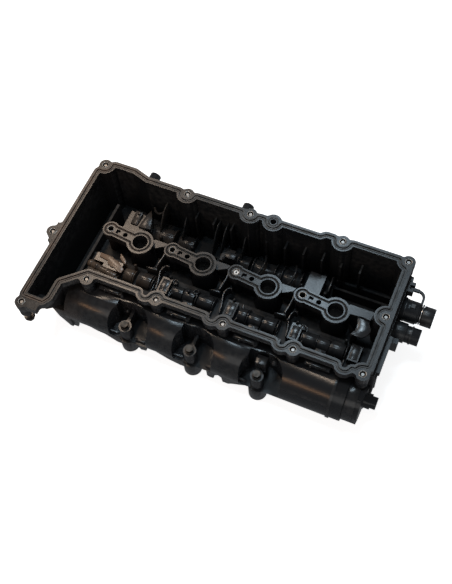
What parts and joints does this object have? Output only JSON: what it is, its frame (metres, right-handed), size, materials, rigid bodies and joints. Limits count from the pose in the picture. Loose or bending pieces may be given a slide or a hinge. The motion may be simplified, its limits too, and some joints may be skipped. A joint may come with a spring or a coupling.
{
  "type": "cylinder head cover",
  "caption": "Moulded head cover assembly with oil separator, plug wells, captive bolts, seals and hose connectors, lying flange up.",
  "frame": {"origin": "axis of the first spark plug well, in the plane of the well faces", "axes": "+X along the cover towards the hose end, +Y towards the deep intake side, +Z out of the mating flange"},
  "size_m": [0.5083, 0.2543, 0.0956],
  "materials": {
    "shell_plastic": "satin glass-filled nylon, oily sheen",
    "inner_plastic": "satin",
    "fitting_plastic": "satin",
    "seal_rubber": "worn, oily",
    "sleeve_steel": "plated, worn",
    "bolt_steel": "plated, stained",
    "spring_steel": "bright wire"
  },
  "bodies": {
    "cover": {"cover_shell": "shell_plastic", "separator_tray": "inner_plastic", "intake_baffle": "inner_plastic", "separator_housing": "shell_plastic", "separator_end_cap": "shell_plastic", "end_channel_cover": "shell_plastic", "labyrinth_plate": "inner_plastic", "impactor_plate": "inner_plastic", "perimeter_gasket": "seal_rubber", "passage_gasket": "seal_rubber", "bolt_sleeves": "sleeve_steel", "bolt_retainers": "seal_rubber", "well_sleeves": "sleeve_steel", "post_screws": "bolt_steel", "pcv_seat": "inner_plastic", "pcv_cap": "fitting_plastic", "pcv_diaphragm": "seal_rubber", "pcv_spring": "spring_steel", "hose_connector": "fitting_plastic", "hose_connector_seal": "seal_rubber", "breather_connector": "fitting_plastic", "breather_seal": "seal_rubber", "hook_bracket": "fitting_plastic", "well_bolt_3": "bolt_steel", "plug_tower_1": "shell_plastic", "plug_tower_2": "shell_plastic", "plug_tower_3": "shell_plastic", "plug_tower_4": "shell_plastic", "well_gasket_1": "seal_rubber", "well_gasket_2": "seal_rubber", "well_gasket_3": "seal_rubber", "well_gasket_4": "seal_rubber"},
    "bolt_1": {"cover_bolt_1": "bolt_steel"},
    "bolt_2": {"cover_bolt_2": "bolt_steel"},
    "bolt_3": {"cover_bolt_3": "bolt_steel"},
    "bolt_4": {"cover_bolt_4": "bolt_steel"},
    "bolt_5": {"cover_bolt_5": "bolt_steel"},
    "bolt_6": {"cover_bolt_6": "bolt_steel"},
    "bolt_7": {"cover_bolt_7": "bolt_steel"},
    "bolt_8": {"cover_bolt_8": "bolt_steel"},
    "bolt_9": {"cover_bolt_9": "bolt_steel"},
    "bolt_10": {"cover_bolt_10": "bolt_steel"},
    "bolt_11": {"cover_bolt_11": "bolt_steel"},
    "bolt_12": {"cover_bolt_12": "bolt_steel"},
    "bolt_13": {"cover_bolt_13": "bolt_steel"},
    "pcv_valve": {"pcv_plunger": "inner_plastic"},
    "flap_1": {"drain_flap_1": "seal_rubber"},
    "flap_2": {"drain_flap_2": "seal_rubber"},
    "clip": {"hose_clip": "spring_steel"},
    "hook": {"harness_hook": "fitting_plastic"}
  },
  "joints": [
    {"name": "bolt_1_float", "type": "slide", "parent": "cover", "child": "bolt_1", "axis": [0, 0, 1], "range_m": [0, 0.01]},
    {"name": "bolt_2_float", "type": "slide", "parent": "cover", "child": "bolt_2", "axis": [0, 0, 1], "range_m": [0, 0.01]},
    {"name": "bolt_3_float", "type": "slide", "parent": "cover", "child": "bolt_3", "axis": [0, 0, 1], "range_m": [0, 0.01]},
    {"name": "bolt_4_float", "type": "slide", "parent": "cover", "child": "bolt_4", "axis": [0, 0, 1], "range_m": [0, 0.01]},
    {"name": "bolt_5_float", "type": "slide", "parent": "cover", "child": "bolt_5", "axis": [0, 0, 1], "range_m": [0, 0.01]},
    {"name": "bolt_6_float", "type": "slide", "parent": "cover", "child": "bolt_6", "axis": [0, 0, 1], "range_m": [0, 0.01]},
    {"name": "bolt_7_float", "type": "slide", "parent": "cover", "child": "bolt_7", "axis": [0, 0, 1], "range_m": [0, 0.01]},
    {"name": "bolt_8_float", "type": "slide", "parent": "cover", "child": "bolt_8", "axis": [0, 0, 1], "range_m": [0, 0.01]},
    {"name": "bolt_9_float", "type": "slide", "parent": "cover", "child": "bolt_9", "axis": [0, 0, 1], "range_m": [0, 0.01]},
    {"name": "bolt_10_float", "type": "slide", "parent": "cover", "child": "bolt_10", "axis": [0, 0, 1], "range_m": [0, 0.01]},
    {"name": "bolt_11_float", "type": "slide", "parent": "cover", "child": "bolt_11", "axis": [0, 0, 1], "range_m": [0, 0.01]},
    {"name": "bolt_12_float", "type": "slide", "parent": "cover", "child": "bolt_12", "axis": [0, 0, 1], "range_m": [0, 0.01]},
    {"name": "bolt_13_float", "type": "slide", "parent": "cover", "child": "bolt_13", "axis": [0, 0, 1], "range_m": [0, 0.01]},
    {"name": "pcv_lift", "type": "slide", "parent": "cover", "child": "pcv_valve", "axis": [0, 0, 1], "range_m": [0, 0.0038], "stiffness_N_per_m": 150, "deforming": ["pcv_spring", "pcv_diaphragm"]},
    {"name": "flap_1_lift", "type": "hinge", "parent": "cover", "child": "flap_1", "pos_m": [0.108, -0.0528, -0.027], "axis": [-1, 0, 0], "range_deg": [0, 40]},
    {"name": "flap_2_lift", "type": "hinge", "parent": "cover", "child": "flap_2", "pos_m": [0.212, -0.0528, -0.027], "axis": [-1, 0, 0], "range_deg": [0, 40]},
    {"name": "clip_release", "type": "slide", "parent": "cover", "child": "clip", "axis": [0, -1, 0], "range_m": [0, 0.004]},
    {"name": "hook_open", "type": "hinge", "parent": "cover", "child": "hook", "pos_m": [0.351, 0.0675, -0.008], "axis": [0, -1, 0], "range_deg": [0, 70]}
  ]
}
